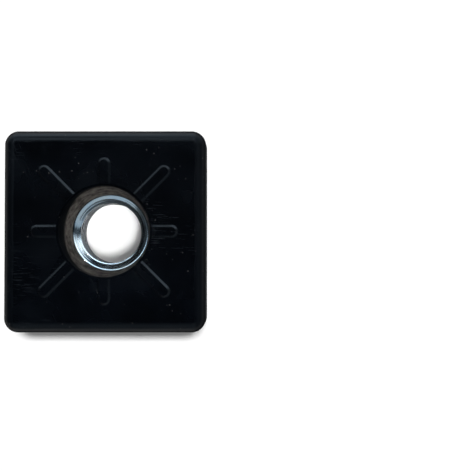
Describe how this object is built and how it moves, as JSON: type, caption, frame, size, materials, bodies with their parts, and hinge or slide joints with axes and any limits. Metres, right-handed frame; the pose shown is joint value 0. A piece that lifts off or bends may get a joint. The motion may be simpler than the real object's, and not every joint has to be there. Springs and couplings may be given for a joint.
{
  "type": "threaded tube insert",
  "caption": "Square black plastic tube insert with barbed body, ribbed head and a zinc-plated nut that takes a screwed foot or castor.",
  "frame": {"origin": "centre of the open end's rim, the face that the insert stands on", "axes": "+Z along the thread's axis, from the open end towards the head, X and Y square to the head's sides"},
  "size_m": [0.045, 0.045, 0.0316],
  "materials": {
    "black_plastic": "moulded black polyamide or polyethylene, satin with fine scuffs",
    "zinc_steel": "bright zinc plate with a blue cast"
  },
  "bodies": {
    "root": {"plug_body": "black_plastic", "square_nut": "zinc_steel"}
  },
  "joints": []
}
